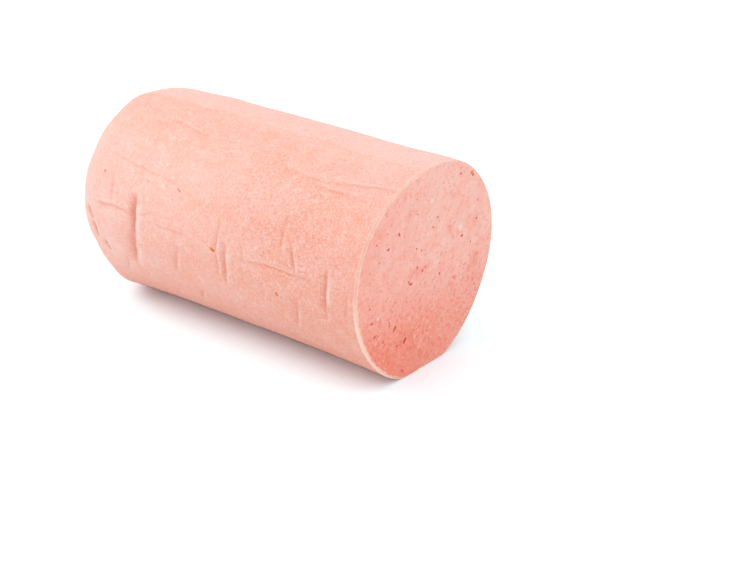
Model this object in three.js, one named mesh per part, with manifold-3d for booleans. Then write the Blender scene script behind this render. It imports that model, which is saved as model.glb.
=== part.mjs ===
// A thick slicing sausage with its casing peeled off, lying on its side. One end is closed: it is
// rounded and gathered towards a small nub, where the casing was tied. The other end is the flat face
// that is left where slices have been cut off. It is one solid piece of cooked meat.
// Millimetres, +Z up. The log lies along X with the cut face towards +X. It rests on z = 0.

import * as THREE from "three";
import { mergeVertices } from "three/addons/utils/BufferGeometryUtils.js";
import Module from "manifold-3d";

// ---- The log ----
const LOG_DIAMETER = 100;
const LOG_LENGTH = 180; // from the closed end to the middle of the cut face
const ARCH = 1.4; // how far the middle of the log rises above its two ends
const SWAY = 0.6; // how far the middle of the log bends towards +Y

// ---- Its section, which isn't quite round: each value is a share of the radius ----
const TALLER = 0.013; // taller than it is wide
const LEAN = 0.007; // longer along the diagonal through -Y, +Z
const KEEL = 0.021; // fuller at the bottom and the two shoulders, like a soft three-sided shape

// ---- The closed end ----
const DOME_DEPTH = 25; // the length over which the end rounds off
const DOME_SQUARENESS = 2.7; // 2 gives a plain ellipse, and more gives a flatter end with a tighter shoulder
const DIMPLE_DEPTH = 3.2;
const DIMPLE_RADIUS = 11;
const NUB_HEIGHT = 2.6;
const NUB_RADIUS = 4;
const PLEATS = 14;
const PLEAT_DEPTH = 1;
const PLEAT_REACH = 0.94; // the pleats run out at this share of the radius

// ---- The cut and the resting face ----
const CUT_YAW = THREE.MathUtils.degToRad(1.2); // the knife was turned a little about Z
const CUT_LEAN = THREE.MathUtils.degToRad(1.7); // and the cut face looks down a little
const SETTLE = 1.2; // how far the soft log has settled into the surface that it lies on

// ---- How finely the surface is divided ----
const FACETS_PER_PLEAT = 6;
const FACETS = PLEATS * FACETS_PER_PLEAT;
const TIED_RINGS = 7; // from the axis to the dimple's edge
const DOME_RINGS = 12; // from there to the shoulder
const BODY_RINGS = 12;

const radius = LOG_DIAMETER / 2;
const closedEnd = -LOG_LENGTH / 2;
const axisHeight = radius - SETTLE;
// The blank is this much too long, so that the slanted cut goes right through it.
const trimAllowance = LOG_DIAMETER * (Math.tan(CUT_YAW) + Math.tan(CUT_LEAN)) + 2;

// How far the closed end has rounded off at a share of the radius, from 0 on the axis.
function domeDepthAt(share) {
  return DOME_DEPTH * (1 - (1 - share ** DOME_SQUARENESS) ** (1 / DOME_SQUARENESS));
}

// The tied middle of the closed end: a dimple with a nub standing in it.
function tiedMiddleAt(share) {
  const fromAxis = share * radius;
  const dimple = DIMPLE_DEPTH * Math.exp(-((fromAxis / DIMPLE_RADIUS) ** 2));
  const nub = NUB_HEIGHT * Math.exp(-((fromAxis / NUB_RADIUS) ** 4));
  return dimple - nub;
}

// The outline of the blank, as (distance from the axis, place along the log), from axis to axis.
function blankOutline() {
  const outline = [];
  const addDomePoint = (share) => {
    outline.push(new THREE.Vector2(share * radius, closedEnd + domeDepthAt(share) + tiedMiddleAt(share)));
  };
  const dimpleEdge = (1.5 * DIMPLE_RADIUS) / radius;
  for (let i = 0; i < TIED_RINGS; i++) {
    addDomePoint((dimpleEdge * i) / TIED_RINGS);
  }
  // Even steps of the angle put these rings closest together on the shoulder.
  const edgeAngle = Math.asin(dimpleEdge);
  for (let i = 0; i < DOME_RINGS; i++) {
    addDomePoint(Math.sin(THREE.MathUtils.lerp(edgeAngle, Math.PI / 2, i / DOME_RINGS)));
  }
  const shoulder = closedEnd + DOME_DEPTH;
  const blankEnd = LOG_LENGTH / 2 + trimAllowance;
  for (let i = 0; i <= BODY_RINGS; i++) {
    outline.push(new THREE.Vector2(radius, THREE.MathUtils.lerp(shoulder, blankEnd, i / BODY_RINGS)));
  }
  outline.push(new THREE.Vector2(0, blankEnd));
  return outline;
}

// The section's radius as a share of the round one, at an angle from +Y towards +Z.
function sectionShare(angle) {
  return 1 - TALLER * Math.cos(2 * angle) - LEAN * Math.sin(2 * angle) + KEEL * Math.sin(3 * angle);
}

// How deep the pleats of the closed end are at a share of the radius and an angle round the axis.
function pleatDepthAt(share, angle) {
  if (share <= 0 || share >= PLEAT_REACH) return 0;
  const fade = Math.sin((share / PLEAT_REACH) * Math.PI);
  return PLEAT_DEPTH * fade * (0.5 - 0.5 * Math.cos(PLEATS * angle));
}

// Gives the round blank the log's own section, its pleats and its bend, and lifts it onto its base.
function shapeLog(blank) {
  const points = blank.getAttribute("position");
  const point = new THREE.Vector3();
  for (let i = 0; i < points.count; i++) {
    point.fromBufferAttribute(points, i);
    const angle = Math.atan2(point.z, point.y);
    const share = Math.min(Math.hypot(point.y, point.z) / radius, 1);
    const onClosedEnd = point.x < closedEnd + DOME_DEPTH;
    const bend = 1 - (point.x / (LOG_LENGTH / 2)) ** 2;
    point.x += onClosedEnd ? pleatDepthAt(share, angle) : 0;
    point.y = point.y * sectionShare(angle) + SWAY * bend;
    point.z = point.z * sectionShare(angle) + ARCH * bend + axisHeight;
    points.setXYZ(i, point.x, point.y, point.z);
  }
  return blank;
}

function makeLogGeometry() {
  const blank = new THREE.LatheGeometry(blankOutline(), FACETS);
  blank.rotateZ(-Math.PI / 2); // the lathe turns about Y, and the log lies along X
  return shapeLog(blank);
}

// ---- Cutting, with manifold-3d ----
const wasm = await Module();
wasm.setup();

function toSolid(geometry) {
  const bare = geometry.clone();
  bare.deleteAttribute("normal");
  bare.deleteAttribute("uv");
  const merged = mergeVertices(bare, 1e-4);
  return new wasm.Manifold(
    new wasm.Mesh({
      numProp: 3,
      vertProperties: merged.getAttribute("position").array,
      triVerts: new Uint32Array(merged.getIndex().array),
    }),
  );
}

function toGeometry(solid) {
  const { vertProperties, triVerts } = solid.getMesh();
  const geometry = new THREE.BufferGeometry();
  geometry.setAttribute("position", new THREE.BufferAttribute(vertProperties, 3));
  geometry.setIndex(new THREE.BufferAttribute(triVerts, 1));
  return geometry;
}

// A block larger than the log. Its -X face is the knife's plane, through the middle of the cut face.
function makeCutAway() {
  const side = 2 * (LOG_LENGTH + LOG_DIAMETER);
  const block = new THREE.BoxGeometry(side, side, side);
  block.translate(side / 2, 0, 0);
  block.rotateY(CUT_LEAN);
  block.rotateZ(-CUT_YAW);
  return block.translate(LOG_LENGTH / 2, 0, axisHeight);
}

// A block below z = 0, where the log has settled flat.
function makeBelowBase() {
  const side = 2 * (LOG_LENGTH + LOG_DIAMETER);
  return new THREE.BoxGeometry(side, side, side).translate(0, 0, -side / 2);
}

// Puts the middle of the resting log's box on the origin.
function centreOnBase(geometry) {
  geometry.computeBoundingBox();
  const { min, max } = geometry.boundingBox;
  return geometry.translate(-(min.x + max.x) / 2, -(min.y + max.y) / 2, -min.z);
}

function makeSausage() {
  const trimmed = toSolid(makeLogGeometry())
    .subtract(toSolid(makeCutAway()))
    .subtract(toSolid(makeBelowBase()));
  const geometry = centreOnBase(toGeometry(trimmed));
  geometry.computeVertexNormals();
  const meat = new THREE.MeshStandardMaterial({ color: 0xf3bba9, roughness: 0.62, metalness: 0 });
  const mesh = new THREE.Mesh(geometry, meat);
  mesh.name = "sausage";
  return mesh;
}

const part = new THREE.Group();
part.add(makeSausage());

export default part;
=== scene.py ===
"""A thick slicing sausage with its casing peeled off, lying on its side.

One end is closed, gathered to a small nub where the casing was tied. The other end is the flat face that
is left where slices have been cut off. The log is one piece. Geometry Nodes give it its form, then the
creases and lumps of its skin, and then the small holes of its cut face.
"""

import math

import bpy
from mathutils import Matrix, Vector


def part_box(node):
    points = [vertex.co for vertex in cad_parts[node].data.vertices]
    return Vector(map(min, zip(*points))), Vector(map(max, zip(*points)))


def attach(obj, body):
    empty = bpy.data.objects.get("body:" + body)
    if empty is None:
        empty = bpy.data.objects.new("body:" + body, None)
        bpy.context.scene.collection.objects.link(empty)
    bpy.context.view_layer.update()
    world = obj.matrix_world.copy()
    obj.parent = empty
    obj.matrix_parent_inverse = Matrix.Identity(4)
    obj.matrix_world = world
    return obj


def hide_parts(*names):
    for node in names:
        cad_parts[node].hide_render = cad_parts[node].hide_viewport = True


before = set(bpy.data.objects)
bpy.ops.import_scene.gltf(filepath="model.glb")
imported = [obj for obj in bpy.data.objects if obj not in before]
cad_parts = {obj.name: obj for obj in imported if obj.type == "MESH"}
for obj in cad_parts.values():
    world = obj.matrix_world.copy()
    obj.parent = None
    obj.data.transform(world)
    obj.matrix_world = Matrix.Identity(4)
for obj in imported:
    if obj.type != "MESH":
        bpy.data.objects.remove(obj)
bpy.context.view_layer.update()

low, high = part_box("sausage")

MM = 0.001

# ---- The log's form, as the frame's solid has it ----
LOG_LENGTH = 180 * MM
LOG_RADIUS = 50 * MM
ARCH = 1.4 * MM
SWAY = 0.6 * MM

# How far the soft log has settled on the floor, how softly its flat foot begins, and how steeply a place
# on the section has to face down, as a sine, before it can be part of the foot.
SETTLE = 1.2 * MM
FOOT_SOFTNESS = 1.2 * MM
LEAST_DOWNWARD = 0.2

# How the section differs from a round one, as shares of its radius.
TALLER = 0.013
LEAN = 0.007
KEEL = 0.021

# The closed end, with its dimple and the nub in the middle of that.
DOME_DEPTH = 25 * MM
DOME_SQUARENESS = 2.7
DIMPLE_DEPTH = 3.2 * MM
DIMPLE_RADIUS = 11 * MM
NUB_HEIGHT = 2.6 * MM
NUB_RADIUS = 4 * MM
NUB_SQUARENESS = 4.0

# The pleats round the closed end, and the share of its radius that they reach over. They wander by radians
# and vary in strength, by noises whose sizes are shares of the radius and which change on the way in.
PLEATS = 14
PLEAT_DEPTH = 1.0 * MM
PLEAT_REACH = 0.94
PLEAT_WANDER = 0.5
PLEAT_WANDER_SIZE = 0.6
PLEAT_STRENGTH = 1.5
PLEAT_STRENGTH_SIZE = 0.45
PLEAT_CHANGE_INWARD = 0.4

# The knife's cut: how its plane is turned and leans, where it meets the log's middle, and its soft rim.
CUT_YAW = math.radians(1.2)
CUT_LEAN = math.radians(1.7)
CUT_MIDDLE = 88.83 * MM
RIM_RADIUS = 0.5 * MM

# ---- How finely the log is divided ----
AROUND = 312
DOME_RINGS = 58
SIDE_RINGS = 176
RIM_RINGS = 4
FACE_RINGS = 34
FIRST_FACE_RING = DOME_RINGS + SIDE_RINGS + RIM_RINGS

# The power by which the cut face's rings crowd towards its rim, and how many rings past the first of them
# a face's middle has to be to count as part of it.
FACE_CROWDING = 1.6
RING_SLACK = 0.1

# Points closer than this are one, which closes the grid's seam and its two ends.
SAME_POINT = 0.005 * MM

# Edges that turn by more than this stay sharp.
SHARP_EDGE = math.radians(50)


# ======== Node trees ========

class Wire:
    """The output of a node. Where it carries numbers, Python's signs join Wires by Math nodes."""

    def __init__(self, socket):
        self.socket = socket
        self.tree = socket.id_data

    def __add__(self, other):
        return calculate("ADD", self, other)

    def __radd__(self, other):
        return calculate("ADD", other, self)

    def __sub__(self, other):
        return calculate("SUBTRACT", self, other)

    def __rsub__(self, other):
        return calculate("SUBTRACT", other, self)

    def __mul__(self, other):
        return calculate("MULTIPLY", self, other)

    def __rmul__(self, other):
        return calculate("MULTIPLY", other, self)

    def __truediv__(self, other):
        return calculate("DIVIDE", self, other)

    def __pow__(self, other):
        return calculate("POWER", self, other)


def plug(socket, value):
    """Gives a socket its value, or joins a Wire to it."""
    if isinstance(value, Wire):
        value.tree.links.new(value.socket, socket)
    else:
        socket.default_value = value


def live_socket(sockets, name):
    """The socket of that name which the node's settings leave in use."""
    return next(socket for socket in sockets if socket.name == name and socket.enabled)


def add_node(tree, kind, values=None, **settings):
    """Adds a node with its settings, and fills its inputs by name."""
    node = tree.nodes.new(kind)
    for name, setting in settings.items():
        setattr(node, name, setting)
    for name, value in (values or {}).items():
        plug(live_socket(node.inputs, name), value)
    return node


def output(node, name):
    return Wire(live_socket(node.outputs, name))


def calculate(operation, *values, clamp=False):
    tree = next(value.tree for value in values if isinstance(value, Wire))
    node = tree.nodes.new("ShaderNodeMath")
    node.operation = operation
    node.use_clamp = clamp
    for socket, value in zip(node.inputs, values):
        plug(socket, value)
    return Wire(node.outputs[0])


def sine(value):
    return calculate("SINE", value)


def cosine(value):
    return calculate("COSINE", value)


def clamped(value):
    """The value held between 0 and 1."""
    return calculate("ADD", value, 0.0, clamp=True)


def bell(distance, width):
    """1 where the distance is 0, falling away to nothing over about twice the width."""
    ratio = distance / width
    return calculate("POWER", math.e, ratio * ratio * -1.0)


def ramp(value, start, end):
    """0 at start and 1 at end, smoothly, and level beyond them."""
    values = {"Value": value, "From Min": start, "From Max": end}
    node = add_node(value.tree, "ShaderNodeMapRange", values, interpolation_type="SMOOTHSTEP")
    return output(node, "Result")


def vector(x, y, z):
    tree = next(value.tree for value in (x, y, z) if isinstance(value, Wire))
    return output(add_node(tree, "ShaderNodeCombineXYZ", {"X": x, "Y": y, "Z": z}), "Vector")


def parts_of(wire):
    node = add_node(wire.tree, "ShaderNodeSeparateXYZ", {"Vector": wire})
    return [Wire(socket) for socket in node.outputs]


def vector_math(operation, *values):
    tree = next(value.tree for value in values if isinstance(value, Wire))
    node = tree.nodes.new("ShaderNodeVectorMath")
    node.operation = operation
    for socket, value in zip(node.inputs, values):
        plug(socket, value)
    return node


def joined(operation, *values):
    """A vector made from others by a Vector Math node."""
    return Wire(vector_math(operation, *values).outputs["Vector"])


def vector_length(wire):
    return Wire(vector_math("LENGTH", wire).outputs["Value"])


def noise(vector_wire, size, detail=2.0, roughness=0.5):
    """Soft noise from about 0 to 1, whose blotches measure about half of the size, in metres."""
    values = {"Vector": vector_wire, "Scale": 1 / size, "Detail": detail, "Roughness": roughness}
    return output(add_node(vector_wire.tree, "ShaderNodeTexNoise", values), "Fac")


SOCKETS = {
    "number": "NodeSocketFloat",
    "whole": "NodeSocketInt",
    "vector": "NodeSocketVector",
    "geometry": "NodeSocketGeometry",
    "material": "NodeSocketMaterial",
}

# The one socket that hands on a shape.
SHAPE = [("Geometry", "geometry")]


def input_list(values):
    """The named inputs that a dictionary of values needs."""
    kinds = {tuple: "vector", int: "whole", float: "number"}
    return [(name, kinds[type(value)]) for name, value in values.items()]


def new_group(name, kind, inputs, outputs):
    """A node group, with Wires from its named inputs and a function that plugs its named outputs."""
    tree = bpy.data.node_groups.new(name, kind)
    for socket_name, socket_type in inputs:
        tree.interface.new_socket(socket_name, in_out="INPUT", socket_type=SOCKETS[socket_type])
    for socket_name, socket_type in outputs:
        tree.interface.new_socket(socket_name, in_out="OUTPUT", socket_type=SOCKETS[socket_type])
    group_in = tree.nodes.new("NodeGroupInput")
    group_out = tree.nodes.new("NodeGroupOutput")
    wires = {socket_name: Wire(group_in.outputs[socket_name]) for socket_name, _ in inputs}

    def finish(**results):
        for result_name, wire in results.items():
            plug(group_out.inputs[result_name.replace("_", " ")], wire)

    return tree, wires, finish


def place_group(tree, group, values):
    """Places a node group in a tree, with its inputs filled by name."""
    kind = "GeometryNodeGroup" if tree.bl_idname == "GeometryNodeTree" else "ShaderNodeGroup"
    node = tree.nodes.new(kind)
    node.node_tree = group
    for name, value in values.items():
        plug(node.inputs[name], value)
    return node


def add_stage(piece, tree, values):
    """Adds a Geometry Nodes modifier and sets its inputs by the sockets' identifiers."""
    modifier = piece.modifiers.new(tree.name, "NODES")
    modifier.node_group = tree
    for item in tree.interface.items_tree:
        if item.in_out == "INPUT" and item.name in values:
            modifier[item.identifier] = values[item.name]


# ======== Places on the log ========

def unroll(position, radius):
    """A place on the skin laid out flat: how far along the log, and how far round it from +Y towards +Z."""
    x, y, z = parts_of(position)
    angle = calculate("ARCTAN2", radius - z, y * -1.0) + math.pi
    return vector(x, angle * radius, 0.0)


def on_flat(along, degrees):
    """The same for a place that is given in millimetres along the log and degrees round it."""
    return (along * MM, math.radians(degrees % 360) * LOG_RADIUS, 0.0)


def on_log(along, degrees):
    """A place on the skin, given in the same way, as a point in space."""
    angle = math.radians(degrees)
    return (along * MM, LOG_RADIUS * math.cos(angle), LOG_RADIUS * (1 + math.sin(angle)))


def on_cut(y, z):
    """A place on the cut face, given in millimetres, as a point in space."""
    x = CUT_MIDDLE + y * MM * math.tan(CUT_YAW) + (z * MM - LOG_RADIUS) * math.tan(CUT_LEAN)
    return (x, y * MM, z * MM)


# ======== The log's form ========

FORM = {
    "Low corner": tuple(low),
    "High corner": tuple(high),
    "Length": LOG_LENGTH,
    "Radius": LOG_RADIUS,
    "Dome depth": DOME_DEPTH,
    "Pleat depth": PLEAT_DEPTH,
    "Arch": ARCH,
    "Sway": SWAY,
    "Settle": SETTLE,
    "Rim radius": RIM_RADIUS,
}


def section_share(angle):
    """The section's radius as a share of a round one, at an angle from +Y towards +Z."""
    share = 1.0 - TALLER * cosine(angle * 2.0)
    share = share - LEAN * sine(angle * 2.0)
    return share + KEEL * sine(angle * 3.0)


def build_form():
    """The plain log: rings from the nub of the closed end, along the side and round the rim, and then
    in to the middle of the cut face. The log fills the box between its two corner inputs."""
    tree, given, finish = new_group("log_form", "GeometryNodeTree", input_list(FORM), SHAPE)
    rings = FIRST_FACE_RING + FACE_RINGS
    sizes = {"Size X": rings, "Size Y": 2 * math.pi, "Vertices X": rings + 1, "Vertices Y": AROUND + 1}
    grid = add_node(tree, "GeometryNodeMeshGrid", sizes)
    grid_x, grid_y, _ = parts_of(output(tree.nodes.new("GeometryNodeInputPosition"), "Position"))
    ring = grid_x + rings / 2
    angle = grid_y + math.pi

    # How far each of the four stretches has got, from 0 to 1.
    dome = clamped(ring / DOME_RINGS)
    side = clamped((ring - DOME_RINGS) / SIDE_RINGS)
    rim = clamped((ring - (DOME_RINGS + SIDE_RINGS)) / RIM_RINGS)
    face = clamped((ring - FIRST_FACE_RING) / FACE_RINGS) ** FACE_CROWDING

    radius = given["Radius"]
    length = given["Length"]
    share = sine(dome * (math.pi / 2))
    rounding = (1.0 - share ** DOME_SQUARENESS) ** (1 / DOME_SQUARENESS)
    dome_depth = given["Dome depth"] * (1.0 - rounding)
    from_axis = share * radius
    dimple = bell(from_axis, DIMPLE_RADIUS) * DIMPLE_DEPTH
    nub_ratio = (from_axis / NUB_RADIUS) ** NUB_SQUARENESS
    nub = calculate("POWER", math.e, nub_ratio * -1.0) * NUB_HEIGHT
    tied_middle = dimple - nub

    # The pleats wander and vary, as a gathered casing prints them.
    on_circle = vector(cosine(angle), sine(angle), share * PLEAT_CHANGE_INWARD)
    wander = (noise(on_circle, PLEAT_WANDER_SIZE, detail=1.0) - 0.5) * PLEAT_WANDER
    pleat_fade = sine(clamped(share / PLEAT_REACH) * math.pi)
    pleat_wave = 0.5 - 0.5 * cosine((angle + wander) * PLEATS)
    pleat_strength = noise(on_circle, PLEAT_STRENGTH_SIZE, detail=1.0) * PLEAT_STRENGTH
    pleat = pleat_fade * pleat_wave * pleat_strength * given["Pleat depth"]

    closed_end = length * -0.5
    level_along = closed_end + dome_depth + side * (length - given["Dome depth"])
    half_share = level_along / (length * 0.5)
    bend = 1.0 - half_share * half_share
    axis_height = radius - given["Settle"] + given["Arch"] * bend

    # The section, with the flat that the soft log has settled into.
    rim_turn = rim * (math.pi / 2)
    rim_inset = given["Rim radius"] * (1.0 - cosine(rim_turn))
    full = (radius - rim_inset) * share * section_share(angle)
    down = calculate("MAXIMUM", sine(angle) * -1.0, LEAST_DOWNWARD)
    clipped = calculate("SMOOTH_MIN", full, axis_height / down, FOOT_SOFTNESS)
    from_middle = clipped * (1.0 - face)
    y = given["Sway"] * bend + from_middle * cosine(angle)
    z = axis_height + from_middle * sine(angle)

    # The knife's plane is turned and leans a little, and the side's rings slant into it.
    cut_offset = y * math.tan(CUT_YAW) + (z - radius) * math.tan(CUT_LEAN)
    rim_along = given["Rim radius"] * (sine(rim_turn) - 1.0)
    x = level_along + tied_middle + pleat + side * cut_offset + side * rim_along

    # Each point keeps its ring, how far in from the rim it is, which is below zero on the skin, and how
    # deep it lies in a pleat.
    inset = clipped * face - (length * 0.5 - level_along)
    kept = output(grid, "Mesh")
    for name, value in (("ring", ring), ("inset", inset), ("pleat", pleat / given["Pleat depth"])):
        kept = stored(kept, name, value)
    shaped = add_node(tree, "GeometryNodeSetPosition", {"Geometry": kept, "Position": vector(x, y, z)})
    closed = merged(output(shaped, "Geometry"), SAME_POINT)
    plain = output(add_node(tree, "GeometryNodeFlipFaces", {"Mesh": closed}), "Mesh")

    # Seats the plain log in its box.
    box = add_node(tree, "GeometryNodeBoundBox", {"Geometry": plain})
    box_low, box_high = output(box, "Min"), output(box, "Max")
    position = output(tree.nodes.new("GeometryNodeInputPosition"), "Position")
    box_size = joined("SUBTRACT", box_high, box_low)
    true_size = joined("SUBTRACT", given["High corner"], given["Low corner"])
    place = joined("DIVIDE", joined("SUBTRACT", position, box_low), box_size)
    place = joined("ADD", joined("MULTIPLY", place, true_size), given["Low corner"])
    seated = add_node(tree, "GeometryNodeSetPosition", {"Geometry": plain, "Position": place})
    finish(Geometry=output(seated, "Geometry"))
    return tree


def stored(geometry, name, value, domain="POINT"):
    """The geometry with a number kept on each of its points or faces."""
    values = {"Geometry": geometry, "Name": name, "Value": value}
    node = add_node(geometry.tree, "GeometryNodeStoreNamedAttribute", values, domain=domain)
    return output(node, "Geometry")


def merged(geometry, distance):
    """The geometry with the points that are closer than the distance made one."""
    values = {"Geometry": geometry, "Distance": distance}
    return output(add_node(geometry.tree, "GeometryNodeMergeByDistance", values), "Geometry")


def named(tree, name):
    """A number that was kept on the mesh."""
    return output(add_node(tree, "GeometryNodeInputNamedAttribute", {"Name": name}), "Attribute")


# ======== The skin's relief ========

RELIEF = {
    "Lump height": 1.2 * MM,
    "Ripple height": 0.3 * MM,
    "Crease depth": 1.0 * MM,
    "Swell height": 1.0,
    "Lip height": 0.5 * MM,
    "Knife marks": 0.25 * MM,
    "Radius": LOG_RADIUS,
}

# How large the lumps, ripples, knife marks and raggedness are across.
LUMP_SIZE = 60 * MM
RIPPLE_SIZE = 9 * MM
KNIFE_MARK_SIZE = 4 * MM
RAGGED_SIZE = 3.5 * MM

# The foot stays flat up to the first height, and the relief is whole from the second one.
FLAT_BELOW = 0.3 * MM
WHOLE_ABOVE = 4 * MM

# How far in from the cut face's rim the ragged lip is, and its width.
LIP_INSET = 0.55 * MM
LIP_WIDTH = 0.4 * MM

# Broad swellings and dents, which make the log's outline as uneven as a hand-tied one's. Each has its
# place, as millimetres along the log and degrees round it from +Y towards +Z, then its reach and height
# in millimetres.
SWELLS = [
    (-76, -257, 8, 1.5),
    (-80, -217, 9, -0.9),
    (-64, -286, 13, -0.8),
    (-25, -290, 16, -0.4),
    (88, -297, 22, 1.5),
    (90, -345, 20, 0.5),
    (-79, -157, 6, -1.0),
    (-80, -181, 4, 0.6),
    (-50, -163, 5, -0.8),
    (-37, -172, 6, 0.4),
    (-70, -130, 7, 1.4),
    (90, -8, 14, 0.5),
]

# Each crease runs from one place on the unrolled skin to another, and has its width in millimetres and its
# strength. It falls gently on its left, looking along it, and rises steeply to a lip on its right; the
# skin's paint makes that lip pale, a painted highlight.
CREASES = [
    # The strong fold near the closed end, in two stretches.
    ((-49.5, -154), (-44, -182), 2.2, 0.8),
    ((-45, -174), (-43, -201), 1.8, 0.95),
    # Fainter folds across the front.
    ((-21, -158), (-17, -180), 1.4, 0.4),
    ((11, -164), (13.5, -190), 1.4, 0.6),
    ((7, -168), (9, -203), 0.9, 0.4),
    ((49, -149), (54, -174), 1.1, 0.4),
    ((54, -186), (51, -200), 0.9, 0.6),
    ((70, -166), (71.5, -195), 1.4, 0.65),
    ((45, -194), (45, -213), 1.1, 0.3),
    ((-58, -193), (-58.5, -208), 1.2, 0.3),
    ((33, -160), (34, -178), 1.0, 0.2),
    ((22, -176), (23, -192), 1.0, 0.2),
    ((82, -166), (83, -186), 1.0, 0.25),
    ((63, -163), (72, -168), 0.8, 0.25),
    # Slits at the closed end's shoulder.
    ((-70, -167), (-71.5, -177), 0.9, 0.9),
    ((-71.5, -178), (-73, -185), 1.1, 0.8),
    ((-64.5, -159), (-67, -167), 1.2, 0.9),
    ((-61, -142), (-54, -158), 1.0, 0.35),
    ((-13, -141), (-9, -151), 0.9, 0.45),
    # Long shallow creases along the log.
    ((-46, -189.5), (-70, -190), 0.9, 0.4),
    ((-30, -194), (-41, -190), 0.7, 0.25),
    ((-10, -187), (-37, -187.5), 0.6, 0.25),
    ((64, -186.5), (20, -184.5), 0.8, 0.4),
    ((-20, -212), (-62, -217), 0.7, 0.25),
    ((-17, -242), (-44, -247), 0.9, 0.28),
    ((55, -236), (30, -238), 0.8, 0.25),
    ((80, -232), (48, -234), 0.9, 0.3),
    ((90, -244), (55, -237), 0.9, 0.3),
]

# A crease of this strength is as deep as the crease depth says.
FULL_STRENGTH = 0.8

# How high a crease's lip stands, as a share of its depth.
CREASE_LIP = 0.3

# The narrowest groove that the rings can carry, in millimetres.
NARROWEST_GROOVE = 1.0

# A groove's reach on its two sides, and its lip's distance and reach, in its own widths.
GENTLE_SIDE = 1.3
STEEP_SIDE = 0.5
LIP_ASIDE = 1.6
LIP_REACH = 0.75

# How much the creases wander, and over what length.
CREASE_WANDER = 4 * MM
CREASE_WANDER_SIZE = 12 * MM


def build_crease(kind):
    """One crease on the unrolled skin: a groove, with a lip to its right, that fades out at its ends."""
    tree, given, finish = new_group(
        "crease",
        kind,
        [("Place", "vector"), ("Start", "vector"), ("End", "vector"), ("Width", "number")],
        [("Groove", "number"), ("Lip", "number")],
    )
    run = joined("SUBTRACT", given["End"], given["Start"])
    reach = joined("SUBTRACT", given["Place"], given["Start"])
    run_squared = Wire(vector_math("DOT_PRODUCT", run, run).outputs["Value"])
    progress = clamped(Wire(vector_math("DOT_PRODUCT", reach, run).outputs["Value"]) / run_squared)
    nearest = joined("MULTIPLY", run, vector(progress, progress, progress))
    distance = vector_length(joined("SUBTRACT", reach, nearest))
    _, _, turn = parts_of(joined("CROSS_PRODUCT", run, reach))
    to_right = turn / calculate("SQRT", run_squared) / given["Width"]
    left = ramp(to_right, 0.3, -0.3)
    width = given["Width"] * (STEEP_SIDE + (GENTLE_SIDE - STEEP_SIDE) * left)
    taper = calculate("SQRT", clamped(progress * (1.0 - progress) * 4.0))
    groove = bell(distance, width) * taper
    from_lip = distance - given["Width"] * LIP_ASIDE
    lip = bell(from_lip, given["Width"] * LIP_REACH) * taper * (1.0 - left)
    finish(Groove=groove, Lip=lip)
    return tree


def draw_creases(tree, position, radius, narrowest):
    """How deep the skin lies in the creases' grooves and how far up it is on their lips. Each number is 1
    at a crease of full strength. No crease is drawn narrower than the last number, in millimetres."""
    group = build_crease(tree.bl_idname)
    wander = (noise(position, CREASE_WANDER_SIZE, detail=3.0) - 0.5) * CREASE_WANDER
    place = joined("ADD", unroll(position, radius), vector(wander, wander, 0.0))
    groove, lip = 0.0, 0.0
    for start, end, width, strength in CREASES:
        sizes = {
            "Place": place,
            "Start": on_flat(*start),
            "End": on_flat(*end),
            "Width": max(width, narrowest) * MM,
        }
        crease = place_group(tree, group, sizes)
        share = strength / FULL_STRENGTH
        groove = calculate("MAXIMUM", output(crease, "Groove") * share, groove)
        lip = calculate("MAXIMUM", output(crease, "Lip") * share, lip)
    return groove, lip


def build_swell():
    """One broad swelling, by how far a place is from its middle."""
    tree, given, finish = new_group(
        "swell",
        "GeometryNodeTree",
        [("Position", "vector"), ("Middle", "vector"), ("Reach", "number"), ("Height", "number")],
        [("Offset", "number")],
    )
    gap = vector_length(joined("SUBTRACT", given["Position"], given["Middle"]))
    finish(Offset=bell(gap, given["Reach"]) * given["Height"])
    return tree


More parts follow.
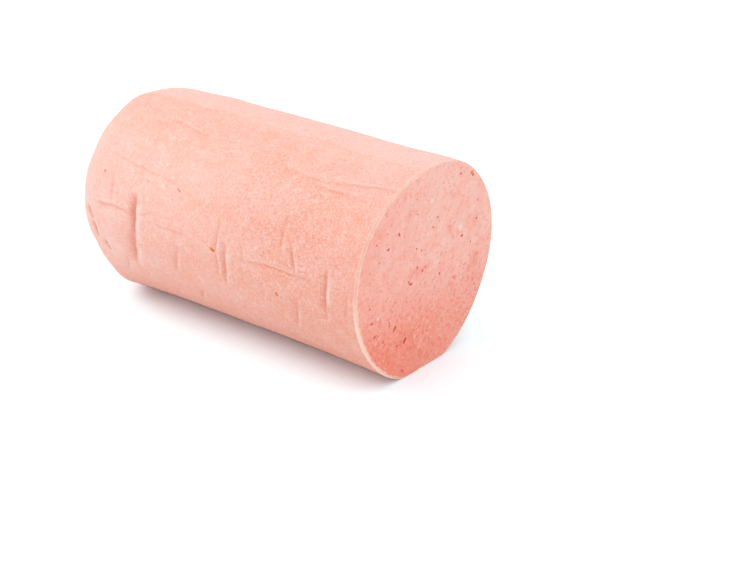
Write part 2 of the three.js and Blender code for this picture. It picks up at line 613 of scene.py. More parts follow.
def build_relief():
    """Moves the surface: the skin's swellings, lumps, ripples and creases, the knife's marks on the cut
    face, and the ragged lip that the knife leaves round it."""
    tree, given, finish = new_group("log_relief", "GeometryNodeTree", SHAPE + input_list(RELIEF), SHAPE)
    position = output(tree.nodes.new("GeometryNodeInputPosition"), "Position")
    _, across, height = parts_of(position)
    radius = given["Radius"]

    groove, crease_lip = draw_creases(tree, position, radius, NARROWEST_GROOVE)
    creasing = (crease_lip * CREASE_LIP - groove) * given["Crease depth"]

    swell_group = build_swell()
    swell = 0.0
    for along, degrees, reach, rise in SWELLS:
        middle = on_log(along, degrees)
        sizes = {"Position": position, "Middle": middle, "Reach": reach * MM, "Height": rise * MM}
        swell = output(place_group(tree, swell_group, sizes), "Offset") + swell

    lumps = (noise(position, LUMP_SIZE, detail=1.0) - 0.5) * given["Lump height"]
    ripples = (noise(position, RIPPLE_SIZE, detail=3.0) - 0.5) * given["Ripple height"]
    ring = named(tree, "ring")
    on_face = ramp(ring, FIRST_FACE_RING - RIM_RINGS + 1.0, FIRST_FACE_RING)
    off_foot = ramp(height, FLAT_BELOW, WHOLE_ABOVE)
    skin_rise = (lumps + ripples + creasing) * (1.0 - on_face)
    knife_marks = (noise(position, KNIFE_MARK_SIZE, detail=3.0) - 0.5) * given["Knife marks"]
    rise = (skin_rise + knife_marks * on_face) * off_foot
    normal = output(tree.nodes.new("GeometryNodeInputNormal"), "Normal")

    swell_share = swell * given["Swell height"] * off_foot / radius
    swelling = vector(0.0, across * swell_share, (height - radius) * swell_share)

    # The lip is broken, and stands highest on the front's side.
    ragged = ramp(noise(position, RAGGED_SIZE, detail=3.0), 0.38, 0.62)
    one_side = ramp(across, 25 * MM, -30 * MM) * 0.75 + 0.25
    lip = bell(named(tree, "inset") - LIP_INSET, LIP_WIDTH) * ragged * one_side
    lip_offset = vector(lip * given["Lip height"], 0.0, 0.0)
    offset = joined("ADD", joined("MULTIPLY", normal, vector(rise, rise, rise)), swelling)
    offset = joined("ADD", offset, lip_offset)

    moved = add_node(tree, "GeometryNodeSetPosition", {"Geometry": given["Geometry"], "Offset": offset})
    finish(Geometry=output(moved, "Geometry"))
    return tree


# ======== The cut face's holes ========

HOLES = {
    "Smallest hole": 0.35 * MM,
    "Largest hole": 1.5 * MM,
    "Hole spacing": 7.5 * MM,
    "Seed": 4,
}

# The larger pits: y and z in millimetres, width, length, and turn in degrees from upright.
PITS = [
    (-22, 28.5, 1.7, 3.2, -28),
    (-30, 25, 0.9, 1.4, 10),
    (-20, 19, 1.0, 1.8, -50),
    (-14.5, 19.5, 1.9, 3.4, -35),
    (-35, 18, 0.8, 1.2, 30),
    (-26, 33, 0.6, 1.5, -70),
    (-19, 33.5, 0.6, 1.3, -60),
    (-8, 62.5, 0.8, 1.1, 0),
    (10, 88, 0.6, 0.9, 20),
]

# The scatter leaves this many rings beside the rim free. It starts with this many points per square metre,
# and keeps those that are far enough apart.
RINGS_LEFT_FREE = 5.0
SCATTER_DENSITY = 20000.0

# Most holes are small: their width follows a random number to this power. The balls that make them are up
# to this many times as long as wide, turned by up to this many radians, and this thick for their width.
SMALL_HOLES_POWER = 3.0
LONGEST_HOLE = 2.2
HOLE_TURN = 6.28
HOLE_THICKNESS = 0.8

# The seeds of a hole's width, stretch and turn.
SIZE_SEED = 5
STRETCH_SEED = 8
TURN_SEED = 11

# The holes' cut leaves slivers at their edges, which close up where they are narrower than this.
SLIVER = 0.01 * MM

# What each face is made of, which its material follows. A face that lies further than ON_SURFACE from the
# whole log's surface is a hole's lining.
SKIN_FACE = 0
MEAT_FACE = 1
LINING_FACE = 2
ON_SURFACE = 0.003 * MM


def build_holes():
    """Takes small holes out of the cut face, as gas and the knife leave them: a scatter and the pits."""
    tree, given, finish = new_group("cut_holes", "GeometryNodeTree", SHAPE + input_list(HOLES), SHAPE)
    ring = named(tree, "ring")
    on_face = calculate("GREATER_THAN", ring, FIRST_FACE_RING + RING_SLACK)
    flat_faces = add_node(tree, "GeometryNodeTriangulate", {"Mesh": given["Geometry"]})
    log = stored(output(flat_faces, "Mesh"), "surface", on_face * MEAT_FACE, "FACE")

    scattered = add_node(
        tree,
        "GeometryNodeDistributePointsOnFaces",
        {
            "Mesh": log,
            "Selection": calculate("GREATER_THAN", ring, FIRST_FACE_RING + RINGS_LEFT_FREE),
            "Distance Min": given["Hole spacing"],
            "Density Max": SCATTER_DENSITY,
            "Seed": given["Seed"],
        },
        distribute_method="POISSON",
    )
    ball = add_node(tree, "GeometryNodeMeshIcoSphere", {"Radius": 0.5, "Subdivisions": 2})
    cutter = output(ball, "Mesh")
    chance = random_value(tree, "FLOAT", {"Seed": SIZE_SEED}) ** SMALL_HOLES_POWER
    width = given["Smallest hole"] + (given["Largest hole"] - given["Smallest hole"]) * chance
    stretch = random_value(tree, "FLOAT", {"Min": 1.0, "Max": LONGEST_HOLE, "Seed": STRETCH_SEED})
    turned = random_value(tree, "FLOAT_VECTOR", {"Max": (0.0, 0.0, HOLE_TURN), "Seed": TURN_SEED})
    turn = add_node(tree, "FunctionNodeEulerToRotation", {"Euler": turned})
    turns = {"Rotation": output(scattered, "Rotation"), "Rotate By": output(turn, "Rotation")}
    spin = add_node(tree, "FunctionNodeRotateRotation", turns, rotation_space="LOCAL")
    places = {
        "Points": output(scattered, "Points"),
        "Instance": cutter,
        "Rotation": output(spin, "Rotation"),
        "Scale": vector(width * stretch, width, width * HOLE_THICKNESS),
    }
    placed = add_node(tree, "GeometryNodeInstanceOnPoints", places)
    small = add_node(tree, "GeometryNodeRealizeInstances", {"Geometry": output(placed, "Instances")})
    cutters = tree.nodes.new("GeometryNodeJoinGeometry").inputs["Geometry"]
    plug(cutters, output(small, "Geometry"))
    for y, z, wide, long, degrees in PITS:
        pit = {
            "Geometry": cutter,
            "Translation": on_cut(y, z),
            "Rotation": (math.radians(degrees), 0.0, 0.0),
            "Scale": (wide * MM, wide * MM, long * MM),
        }
        plug(cutters, output(add_node(tree, "GeometryNodeTransform", pit), "Geometry"))
    holed = add_node(
        tree,
        "GeometryNodeMeshBoolean",
        {"Mesh 1": log, "Mesh 2": output(cutters.node, "Geometry")},
        operation="DIFFERENCE",
        solver="MANIFOLD",
    )
    finish(Geometry=kept_through_cut(log, merged(output(holed, "Mesh"), SLIVER)))
    return tree


def random_value(tree, data_type, values):
    """A random number or vector for each point of the scatter, between its limits and with its seed."""
    node = add_node(tree, "FunctionNodeRandomValue", values, data_type=data_type)
    return output(node, "Value")


def nearest_on(whole, name):
    """A kept number as it is at the nearest place of the whole log."""
    values = {"Mesh": whole, "Value": named(whole.tree, name)}
    return output(add_node(whole.tree, "GeometryNodeSampleNearestSurface", values), "Value")


def kept_through_cut(whole, holed):
    """Gives the faces and points that the holes' edges have cut what the whole log had there, and marks
    the holes' linings."""
    holed = stored(holed, "inset", nearest_on(whole, "inset"))
    gap = output(add_node(whole.tree, "GeometryNodeProximity", {"Geometry": whole}), "Distance")
    off_surface = calculate("GREATER_THAN", gap, ON_SURFACE)
    kind = nearest_on(whole, "surface") * (1.0 - off_surface) + off_surface * LINING_FACE
    return stored(holed, "surface", kind, "FACE")


def build_sausage():
    """The whole log: its form, its relief and its holes, then smooth faces and its materials."""
    sizes = {**FORM, **RELIEF, **HOLES}
    materials = {"Skin": SKIN_FACE, "Meat": MEAT_FACE, "Hole lining": LINING_FACE}
    inputs = SHAPE + input_list(sizes) + [(name, "material") for name in materials]
    tree, given, finish = new_group("peeled_sausage", "GeometryNodeTree", inputs, SHAPE)
    log = output(place_group(tree, build_form(), {name: given[name] for name in FORM}), "Geometry")
    for group, values in ((build_relief(), RELIEF), (build_holes(), HOLES)):
        stage = place_group(tree, group, {"Geometry": log, **{name: given[name] for name in values}})
        log = output(stage, "Geometry")

    edge_angle = output(tree.nodes.new("GeometryNodeInputMeshEdgeAngle"), "Unsigned Angle")
    smooth = {"Geometry": log, "Shade Smooth": True}
    log = output(add_node(tree, "GeometryNodeSetShadeSmooth", smooth, domain="FACE"), "Geometry")
    bent = calculate("GREATER_THAN", edge_angle, SHARP_EDGE)
    sharp = {"Geometry": log, "Selection": bent, "Shade Smooth": False}
    log = output(add_node(tree, "GeometryNodeSetShadeSmooth", sharp, domain="EDGE"), "Geometry")
    log = output(add_node(tree, "GeometryNodeRealizeInstances", {"Geometry": log}), "Geometry")
    surface = named(tree, "surface")
    for name, kind in materials.items():
        given_material = {"Geometry": log, "Selection": surface_is(surface, kind), "Material": given[name]}
        log = output(add_node(tree, "GeometryNodeSetMaterial", given_material), "Geometry")
    finish(Geometry=log)
    return tree, sizes


def surface_is(surface, kind):
    return calculate("COMPARE", surface, float(kind), 0.5)


# ======== Colours and materials ========

def colour(red, green, blue):
    """A colour given as a screen shows it, from 0 to 255, as the linear one that a shader takes."""

    def linear(value):
        value = value / 255
        return value / 12.92 if value <= 0.04045 else ((value + 0.055) / 1.055) ** 2.4

    return (linear(red), linear(green), linear(blue), 1.0)


SKIN = colour(241, 180, 165)
SKIN_PALE = colour(245, 204, 195)
# Also the painted highlight on the creases' lips.
SKIN_PALEST_AND_HIGHLIGHT = colour(248, 221, 210)
SKIN_PEACH = colour(243, 169, 141)
# Colours of painted shade, low on the skin and just above the floor.
SKIN_SHADE = colour(236, 152, 130)
SKIN_CONTACT_SHADE = colour(206, 92, 74)
SKIN_GRAIN = colour(214, 138, 120)
# Also the painted shade in the creases, pleats and dimple, partly their own redder colour.
SKIN_FOLD_AND_SHADE = colour(222, 118, 92)
SPICE = colour(224, 122, 10)
# Partly the slits' painted shade.
SKIN_GASH_AND_SHADE = colour(222, 112, 70)
# Also a painted highlight along the cut's rim.
RIM_CREAM_AND_HIGHLIGHT = colour(253, 222, 206)
MEAT = colour(254, 187, 171)
MEAT_PALE = colour(255, 202, 191)
MEAT_RED = colour(238, 130, 110)
# Also the painted shade low on the cut face.
MEAT_DEEP_AND_SHADE = colour(246, 134, 108)
FAT = colour(254, 218, 208)
RED_SPOT = colour(212, 92, 74)
LINING = colour(220, 100, 76)

# Paler areas of the skin: place, as for the swellings, then reach in millimetres and strength.
PALE_AREAS = [
    (-72, -193, 26, 0.75),
    (-66, -163, 20, 0.9),
    (-38, -203, 24, 0.5),
    (0, -215, 22, 0.3),
    (72, -270, 30, 0.55),
]

# More areas of the skin, as place and reach: peach, painted shade, sandy, and blotched with white and red.
PEACH_AREA = (50, -240, 32)
SHADE_AREAS = [(95, -190, 40), (75, -138, 50)]
SANDY_AREA = (50, -203, 42)
BLOTCHED_AREA = (-32, -214, 26)

# The middle of the closed end, where it was tied, round which the skin gets painted shade.
TIED_MIDDLE = (-88 * MM, 0.0, 50 * MM)

# The skin's streaks are this share as wide as they are long.
STREAK_NARROWING = 0.22

# The cells of the cut face's smallest flecks are moved by this, away from those of the larger ones.
FLECK_SHIFT = (0.05, 0.03, 0.0)

# How large the ragged bits of the rim's colour are, and how far they wander in and out.
RAGGED_RIM_SIZE = 2.2 * MM
RAGGED_RIM_REACH = 2.4 * MM

# How far each of red, green and blue spreads inside the meat, as shares of a depth.
SCATTER_SHARES = (1.0, 0.4, 0.3)
SCATTER_DEPTH = 3 * MM

# Specks on the skin: place, as for the swellings, then radius in millimetres and colour.
SKIN_SPECKS = [
    (5, -184.5, 0.95, SPICE),
    (5.8, -183.8, 0.8, SPICE),
    (42, -171, 0.75, SPICE),
    (42.3, -170, 0.7, SPICE),
    (-1.5, -245, 0.7, RIM_CREAM_AND_HIGHLIGHT),
    # These specks darken the slits, partly their own redder colour and partly painted shade.
    (-71, -180, 0.7, SKIN_GASH_AND_SHADE),
    (-70.3, -172, 0.8, SKIN_GASH_AND_SHADE),
    (-70.8, -175, 0.6, SKIN_GASH_AND_SHADE),
    (-66, -163.5, 0.9, SKIN_GASH_AND_SHADE),
    (-65, -161, 0.6, SKIN_GASH_AND_SHADE),
    # Small pits in the skin, painted as red dots with their shade in them.
    (-65, -207, 0.7, MEAT_RED),
    (-18, -209, 0.6, MEAT_RED),
    (-19, -209.6, 0.5, MEAT_RED),
    (-24, -214.5, 0.9, SKIN_PALE),
]

# Specks on the cut face: y and z, then radius in millimetres and colour.
MEAT_SPECKS = [
    (22.5, 88.5, 0.7, RED_SPOT),
    (31, 86.5, 1.0, SPICE),
    (32, 85, 0.8, RED_SPOT),
    (-7, 53, 0.7, RED_SPOT),
    (-3, 50, 0.6, RED_SPOT),
    (-8, 79, 0.5, RED_SPOT),
    (3.5, 69, 0.6, RED_SPOT),
    (-34, 65, 0.5, RED_SPOT),
    (-36, 74, 0.5, RED_SPOT),
    (-13, 48, 0.6, RED_SPOT),
    (21, 38, 0.8, MEAT_RED),
    (2, 82, 1.2, FAT),
    (7, 82, 1.0, FAT),
    (24, 62, 1.4, FAT),
    (-34, 38, 0.9, FAT),
]


def mixed(first, second, share):
    """Two colours mixed by a share, which may be a Wire."""
    tree = next(value.tree for value in (first, second, share) if isinstance(value, Wire))
    node = tree.nodes.new("ShaderNodeMix")
    node.data_type = "RGBA"
    for name, value in (("Factor", share), ("A", first), ("B", second)):
        plug(live_socket(node.inputs, name), value)
    return output(node, "Result")


def build_flecks():
    """A mask of small spots scattered over a flat place: each cell has one chance of a spot."""
    tree, given, finish = new_group(
        "flecks",
        "ShaderNodeTree",
        [("Place", "vector")]
        + [(name, "number") for name in ("Cells per metre", "Chance", "Spot share")],
        [("Mask", "number")],
    )
    values = {"Vector": given["Place"], "Scale": given["Cells per metre"]}
    cells = add_node(tree, "ShaderNodeTexVoronoi", values, voronoi_dimensions="2D")
    lots = add_node(tree, "ShaderNodeSeparateColor", {"Color": output(cells, "Color")})
    lot, second_lot, _ = [Wire(socket) for socket in lots.outputs]
    chosen = calculate("LESS_THAN", lot, given["Chance"])

    # Spots are from half to 1.3 times their share of a cell, and have a firm edge.
    reach = given["Spot share"] * (second_lot * 0.8 + 0.5)
    spot = 1.0 - clamped(output(cells, "Distance") / reach)
    finish(Mask=clamped(spot * 3.0) * chosen)
    return tree


def build_mottle():
    """Soft blotches with fairly clear edges, from 0 to 1."""
    tree, given, finish = new_group(
        "mottle",
        "ShaderNodeTree",
        [("Vector", "vector"), ("Blotches per metre", "number"), ("Sharpness", "number")],
        [("Value", "number")],
    )
    scale = given["Blotches per metre"]
    values = {"Vector": given["Vector"], "Scale": scale, "Detail": 3.0, "Roughness": 0.55}
    soft = output(add_node(tree, "ShaderNodeTexNoise", values), "Fac")
    spread = (soft - 0.5) * given["Sharpness"] + 0.5
    finish(Value=clamped(spread))
    return tree


def build_speck():
    """One speck at its place, with a slightly ragged edge."""
    tree, given, finish = new_group(
        "speck",
        "ShaderNodeTree",
        [("Place", "vector"), ("Middle", "vector"), ("Radius", "number")],
        [("Mask", "number")],
    )
    ragged = (noise(given["Place"], 1.2 * MM) - 0.5) * (0.9 * MM)
    gap = vector_length(joined("SUBTRACT", given["Place"], given["Middle"])) + ragged
    finish(Mask=1.0 - ramp(gap, given["Radius"] * 0.6, given["Radius"] * 1.3))
    return tree


class Effects:
    """The node groups that the materials share, and short ways to place them."""

    def __init__(self):
        self.flecks_group = build_flecks()
        self.mottle_group = build_mottle()
        self.speck_group = build_speck()

    def flecks(self, place, cell, chance, spot):
        """The mask of a scatter of flecks, whose cells and spots are given in millimetres."""
        values = {
            "Place": place,
            "Cells per metre": 1 / (cell * MM),
            "Chance": chance,
            "Spot share": spot / cell,
        }
        return output(place_group(place.tree, self.flecks_group, values), "Mask")

    def mottle(self, vector_wire, size, sharpness):
        """Blotches of about half the size, which is given in millimetres."""
        values = {"Vector": vector_wire, "Blotches per metre": 1 / (size * MM), "Sharpness": sharpness}
        return output(place_group(vector_wire.tree, self.mottle_group, values), "Value")

    def specks(self, paint, place, specks):
        """The paint with each speck on it: its middle, its radius in millimetres and its colour."""
        for middle, radius, shade in specks:
            values = {"Place": place, "Middle": middle, "Radius": radius * MM}
            speck = place_group(place.tree, self.speck_group, values)
            paint = mixed(paint, shade, output(speck, "Mask") * 0.9)
        return paint


# In the materials below, a mask is multiplied by the most that its colour may show, from 0 to 1. The last
# two numbers of a ramp are where the mask starts and where it is whole.

def new_material(name, roughness, specular, scatter):
    """A material, its Principled shader, and a Wire of the object's own coordinates."""
    material = bpy.data.materials.new(name)
    material.use_nodes = True
    tree = material.node_tree
    shader = tree.nodes["Principled BSDF"]
    shader.inputs["Roughness"].default_value = roughness
    shader.inputs["Specular IOR Level"].default_value = specular
    shader.inputs["Subsurface Weight"].default_value = scatter
    shader.inputs["Subsurface Radius"].default_value = SCATTER_SHARES
    shader.inputs["Subsurface Scale"].default_value = SCATTER_DEPTH
    coordinates = Wire(tree.nodes.new("ShaderNodeTexCoord").outputs["Object"])
    return material, shader, coordinates


def area(here, along, degrees, reach):
    """A soft round area of the skin: 1 at its middle, fading over its reach in millimetres."""
    return bell(vector_length(joined("SUBTRACT", here, on_log(along, degrees))), reach * MM)


def kept_on_mesh(tree, name):
    return output(add_node(tree, "ShaderNodeAttribute", attribute_name=name), "Fac")


def to_ragged_rim(here):
    """How far a place is in from the cut face's rim, made ragged. It is below zero on the skin."""
    ragged = (noise(here, RAGGED_RIM_SIZE, detail=3.0) - 0.5) * RAGGED_RIM_REACH
    return kept_on_mesh(here.tree, "inset") + ragged


def bumped(shader, height, depth):
    """Roughens the shading by a height times a depth in metres."""
    bump = add_node(shader.id_data, "ShaderNodeBump", {"Height": height, "Distance": depth})
    plug(shader.inputs["Normal"], output(bump, "Normal"))


def skin_tones(effects, here, place):
    """The skin's changes of colour, with painted shade low down and towards the right end, and the paler
    band with a ragged edge along its top.
    """
    _, _, height = parts_of(here)
    paint = mixed(SKIN, SKIN_PALE, effects.mottle(here, size=42, sharpness=3.5) * 0.35)
    narrowed = {"Vector": here, "Scale": (STREAK_NARROWING, 1.0, 1.0)}
    stretched = output(add_node(here.tree, "ShaderNodeMapping", narrowed), "Vector")
    streaks = effects.mottle(stretched, size=15, sharpness=4.0)
    paint = mixed(paint, SKIN_PEACH, streaks * 0.42)
    peach = area(here, *PEACH_AREA) * effects.mottle(stretched, size=9, sharpness=4.0)
    paint = mixed(paint, SKIN_PEACH, peach * 0.6)
    for along, degrees, reach, strength in PALE_AREAS:
        paint = mixed(paint, SKIN_PALE, area(here, along, degrees, reach) * strength)
    # Painted shade: the skin is darker low down and in the shade areas towards the right end.
    deeper = ramp(height, 26 * MM, 2 * MM) * 0.25
    for shade_area in SHADE_AREAS:
        deeper = deeper + area(here, *shade_area) * 0.35
    paint = mixed(paint, SKIN_SHADE, clamped(deeper))
    # Painted shade, darkest just above the floor where the log meets it.
    paint = mixed(paint, SKIN_CONTACT_SHADE, ramp(height, 12 * MM, 1 * MM) * 0.8)

    # Patches of a few millimetres, and smaller ones.
    paint = mixed(paint, SKIN_PALE, effects.mottle(here, size=7, sharpness=5.0) * 0.28)
    paint = mixed(paint, SKIN_PEACH, effects.mottle(here, size=11, sharpness=5.0) * 0.22)
    small_patches = noise(here, 4 * MM, detail=3.0, roughness=0.6)
    paint = mixed(paint, SKIN_PALEST_AND_HIGHLIGHT, ramp(small_patches, 0.55, 0.7) * 0.22)
    paint = mixed(paint, SKIN_PEACH, ramp(small_patches, 0.45, 0.3) * 0.25)

    _, round_log, _ = parts_of(place)
    ragged_round = round_log + (noise(here, 16 * MM, detail=5.0, roughness=0.6) - 0.5) * (16 * MM)
    band = ramp(ragged_round, 85 * MM, 82 * MM) * ramp(round_log, 35 * MM, 65 * MM)
    return mixed(paint, SKIN_PALE, band * 0.4)


def grained(effects, paint, here, place, sandy):
    """The skin's paint with fine grain, strongest where the skin is sandy, and with blotches and flecks."""
    grain = noise(here, 1.1 * MM, detail=3.0, roughness=0.7)
    paint = mixed(paint, SKIN_GRAIN, ramp(grain, 0.48, 0.72) * (sandy * 0.4 + 0.25))
    paint = mixed(paint, SKIN_PALEST_AND_HIGHLIGHT, ramp(grain, 0.5, 0.32) * (sandy * 0.2 + 0.3))
    paint = mixed(paint, SKIN_GRAIN, effects.flecks(place, cell=8, chance=0.3, spot=0.5) * 0.35)
    blotched = area(here, *BLOTCHED_AREA)
    blotches = ramp(noise(here, 3.2 * MM, detail=4.0, roughness=0.7), 0.53, 0.66)
    paint = mixed(paint, SKIN_PALEST_AND_HIGHLIGHT, blotches * (blotched * 0.55 + 0.1))
    flecks = effects.flecks(place, cell=5.5, chance=0.25, spot=0.5)
    return mixed(paint, RED_SPOT, flecks * (blotched * 0.35 + 0.08))


def marked(effects, paint, here, place):
    """The skin's paint with the creases, their grooves darker, partly their own redder colour and partly
    painted shade, and their lips pale as a painted highlight; painted shade in the pleats and round the
    tied middle of the closed end; the cream edge beside the cut, partly a painted highlight; and the
    specks."""
    groove, lip = draw_creases(here.tree, here, LOG_RADIUS, narrowest=0.0)
    # The creases' lips are painted pale as a painted highlight, and their grooves darker, partly their own
    # redder colour and partly painted shade.
    broken = ramp(noise(here, 3 * MM, detail=3.0), 0.3, 0.6)
    paint = mixed(paint, SKIN_PALEST_AND_HIGHLIGHT, clamped(lip * broken * 0.75))
    paint = mixed(paint, SKIN_FOLD_AND_SHADE, clamped(groove * 0.65))
    # Painted shade in the pleats' valleys and round the tied middle of the closed end.
    paint = mixed(paint, SKIN_FOLD_AND_SHADE, ramp(kept_on_mesh(here.tree, "pleat"), 0.35, 1.0) * 0.35)
    from_tied = vector_length(joined("SUBTRACT", here, TIED_MIDDLE))
    paint = mixed(paint, SKIN_FOLD_AND_SHADE, ramp(from_tied, 13 * MM, 5 * MM) * 0.3)
    _, round_log, _ = parts_of(place)
    # The cream edge beside the cut is partly the skin's own paler edge and partly a painted highlight,
    # strongest on the front.
    low_front = ramp(round_log, 150 * MM, 168 * MM) * 0.6 + 0.25
    paint = mixed(paint, RIM_CREAM_AND_HIGHLIGHT, ramp(to_ragged_rim(here), -1.0 * MM, -0.4 * MM) * low_front)
    specks = [(on_flat(x, degrees), radius, shade) for x, degrees, radius, shade in SKIN_SPECKS]
    return effects.specks(paint, place, specks)


def make_skin(effects):
    """Peeled skin: pale pink and peach, sandy along the front, with painted shade in its folds and
    underneath.
    """
    material, shader, here = new_material("peeled_skin", roughness=0.6, specular=0.3, scatter=0.2)
    place = unroll(here, LOG_RADIUS)
    paint = skin_tones(effects, here, place)
    sandy = clamped(area(here, *SANDY_AREA) * 0.9 + effects.mottle(here, size=30, sharpness=4.0) * 0.35)
    paint = grained(effects, paint, here, place, sandy)
    paint = marked(effects, paint, here, place)
    plug(shader.inputs["Base Color"], paint)
    fine = noise(here, 1.1 * MM, detail=3.0, roughness=0.65)
    bumped(shader, fine * (sandy * 0.8 + 0.4) + noise(here, 5 * MM) * 0.9, 0.3 * MM)
    return material


def make_meat(effects):
    """The cut face: fine pink meat with red and white flecks, painted shade low down near the floor, and a
    cream rim that is partly a painted highlight.
    """
    material, shader, here = new_material("cut_meat", roughness=0.5, specular=0.35, scatter=0.25)
    _, across, height = parts_of(here)
    place = vector(across, height, 0.0)
    paint = mixed(MEAT, MEAT_PALE, effects.mottle(here, size=7, sharpness=4.5) * 0.75)
    paint = mixed(paint, MEAT_PALE, ramp(height, 55 * MM, 95 * MM) * 0.35)
    # Painted shade: the face is darker low down, most on the -Y side. The whole -Y side is also a deeper
    # tone.
    deeper = ramp(height, 56 * MM, 14 * MM) * (ramp(across, 25 * MM, -15 * MM) * 0.2 + 0.5)
    deeper = deeper + ramp(across, 5 * MM, -50 * MM) * 0.22
    paint = mixed(paint, MEAT_DEEP_AND_SHADE, clamped(deeper))
    clouds = noise(here, 15 * MM, detail=4.0, roughness=0.65)
    paint = mixed(paint, MEAT_RED, ramp(clouds, 0.52, 0.75) * 0.55)

    # The meat's grain is coarser to the eye low on the face.
    coarse = ramp(height, 60 * MM, 25 * MM) * 0.5 + 0.5
    crumbs = noise(here, 2.6 * MM, detail=3.0, roughness=0.6)
    paint = mixed(paint, MEAT_RED, ramp(crumbs, 0.5, 0.68) * coarse * 0.6)
    grain = noise(here, 1.5 * MM, detail=3.0, roughness=0.7)
    paint = mixed(paint, RED_SPOT, ramp(grain, 0.55, 0.75) * coarse * 0.6)
    paint = mixed(paint, FAT, ramp(grain, 0.45, 0.28) * coarse * 0.7)

    # Flecks, the rim's cream edge, partly a painted highlight, and the specks.
    paint = mixed(paint, FAT, effects.flecks(place, cell=10, chance=0.3, spot=1.0) * 0.35)
    paint = mixed(paint, RED_SPOT, effects.flecks(place, cell=4.5, chance=0.35, spot=0.5) * 0.45)
    shifted = joined("ADD", place, FLECK_SHIFT)
    paint = mixed(paint, RED_SPOT, effects.flecks(shifted, cell=3, chance=0.4, spot=0.45) * 0.3)
    # The cream rim is partly the face's own paler edge and partly a painted highlight, strongest on the -Y
    # side.
    one_side = ramp(across, 15 * MM, -35 * MM) * 0.55 + 0.15
    paint = mixed(paint, RIM_CREAM_AND_HIGHLIGHT, ramp(to_ragged_rim(here), 0.9 * MM, 0.4 * MM) * one_side)
    specks = [((y * MM, z * MM, 0.0), radius, shade) for y, z, radius, shade in MEAT_SPECKS]
    paint = effects.specks(paint, place, specks)
    plug(shader.inputs["Base Color"], paint)
    bumped(shader, noise(here, 1.6 * MM, detail=4.0, roughness=0.65), 0.3 * MM)
    return material


def make_lining():
    """The inside of a hole, darker and redder than the cut face."""
    material, shader, here = new_material("hole_lining", roughness=0.45, specular=0.5, scatter=0.3)
    plug(shader.inputs["Base Color"], mixed(LINING, MEAT_DEEP_AND_SHADE, noise(here, 1.5 * MM) * 0.6))
    return material


# ======== Making the log ========

def new_object(name, data):
    """An object of that name in the scene."""
    made = bpy.data.objects.new(name, data)
    bpy.context.scene.collection.objects.link(made)
    return made


def make_log():
    """The log's plain mesh, as the node tree makes it."""
    effects = Effects()
    maker = new_object("log_maker", bpy.data.meshes.new("log_maker"))
    tree, sizes = build_sausage()
    materials = {"Skin": make_skin(effects), "Meat": make_meat(effects), "Hole lining": make_lining()}
    add_stage(maker, tree, {**sizes, **materials})
    evaluated = maker.evaluated_get(bpy.context.evaluated_depsgraph_get())
    mesh = bpy.data.meshes.new_from_object(evaluated)
    mesh.name = "sausage_log"
    mesh.materials.pop(index=0)
    bpy.data.objects.remove(maker)
    return new_object("sausage_log", mesh)


log = make_log()
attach(log, "root")
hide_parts("sausage")


# ======== Floor, light and camera ========

# The floor's colour to the log, and the brighter one that the camera sees. Its edges are this far away.
FLOOR_WHITE = (0.9, 0.9, 0.9, 1)
FLOOR_SEEN = (1.06, 1.27, 1.34, 1)
FLOOR_REACH = 60.0

WORLD_STRENGTH = 1.0

# A soft light from the upper left: its place and aim and the side of its square in metres, and its watts.
KEY_PLACE = (-0.7, -0.35, 0.8)
KEY_AIM = (0, 0, 0.05)
KEY_SIDE = 0.5
KEY_POWER = 2.8

CAMERA_AIM = (-1.02 * MM, -0.25 * MM, 50 * MM)
CAMERA_AZIMUTH = math.radians(37.75)
CAMERA_ELEVATION = math.radians(25.81)
CAMERA_DISTANCE = 835.2 * MM
CAMERA_ASIDE = 48.7 * MM
CAMERA_BELOW = 32.3 * MM
LENS_MM = 84.8
SENSOR_MM = 36
NEAREST_SEEN = 0.01


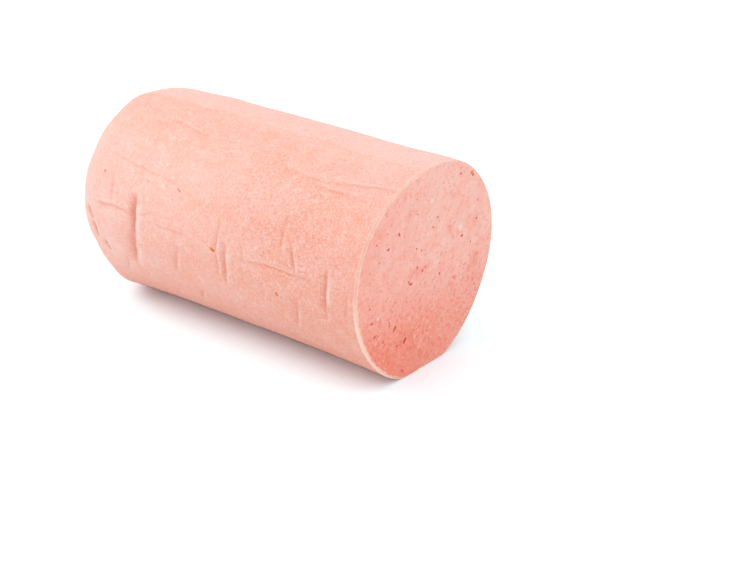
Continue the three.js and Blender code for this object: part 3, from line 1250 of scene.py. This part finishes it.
def make_floor():
    """A white floor. The camera sees it so bright that only the shade close to the log stays visible."""
    mesh = bpy.data.meshes.new("floor")
    corners = [(x * FLOOR_REACH, y * FLOOR_REACH, 0) for x, y in ((-1, -1), (1, -1), (1, 1), (-1, 1))]
    mesh.from_pydata(corners, [], [(0, 1, 2, 3)])
    floor = new_object("floor", mesh)
    material = bpy.data.materials.new("floor_white")
    material.use_nodes = True
    nodes = material.node_tree.nodes
    nodes.remove(nodes["Principled BSDF"])
    plain = add_node(material.node_tree, "ShaderNodeBsdfDiffuse", {"Color": FLOOR_WHITE})
    bright = add_node(material.node_tree, "ShaderNodeBsdfDiffuse", {"Color": FLOOR_SEEN})
    paths = nodes.new("ShaderNodeLightPath")
    seen = add_node(material.node_tree, "ShaderNodeMixShader", {"Fac": output(paths, "Is Camera Ray")})
    plug(seen.inputs[1], output(plain, "BSDF"))
    plug(seen.inputs[2], output(bright, "BSDF"))
    plug(nodes["Material Output"].inputs["Surface"], output(seen, "Shader"))
    mesh.materials.append(material)


def make_key_light():
    data = bpy.data.lights.new("key", "AREA")
    data.shape = "SQUARE"
    data.size = KEY_SIDE
    data.energy = KEY_POWER
    light = new_object("key", data)
    light.location = KEY_PLACE
    light.rotation_euler = (Vector(KEY_AIM) - Vector(KEY_PLACE)).to_track_quat("-Z", "Y").to_euler()


def make_world():
    """An even white light from all round."""
    world = bpy.data.worlds.new("studio")
    world.use_nodes = True
    background = world.node_tree.nodes["Background"]
    background.inputs["Color"].default_value = (1, 1, 1, 1)
    background.inputs["Strength"].default_value = WORLD_STRENGTH
    bpy.context.scene.world = world


def make_camera():
    """Looks at a place beside the log's middle, which leaves the log left of the picture's centre."""
    back = Vector(
        (
            math.sin(CAMERA_AZIMUTH) * math.cos(CAMERA_ELEVATION),
            -math.cos(CAMERA_AZIMUTH) * math.cos(CAMERA_ELEVATION),
            math.sin(CAMERA_ELEVATION),
        )
    )
    right = Vector((math.cos(CAMERA_AZIMUTH), math.sin(CAMERA_AZIMUTH), 0))
    up = back.cross(right)
    place = Vector(CAMERA_AIM) + right * CAMERA_ASIDE - up * CAMERA_BELOW + back * CAMERA_DISTANCE
    data = bpy.data.cameras.new("camera")
    data.lens = LENS_MM
    data.sensor_width = SENSOR_MM
    data.clip_start = NEAREST_SEEN
    camera = new_object("camera", data)
    camera.location = place
    camera.rotation_euler = (-back).to_track_quat("-Z", "Y").to_euler()
    bpy.context.scene.camera = camera


make_floor()
make_world()
make_key_light()
make_camera()
bpy.context.scene.view_settings.view_transform = "Standard"
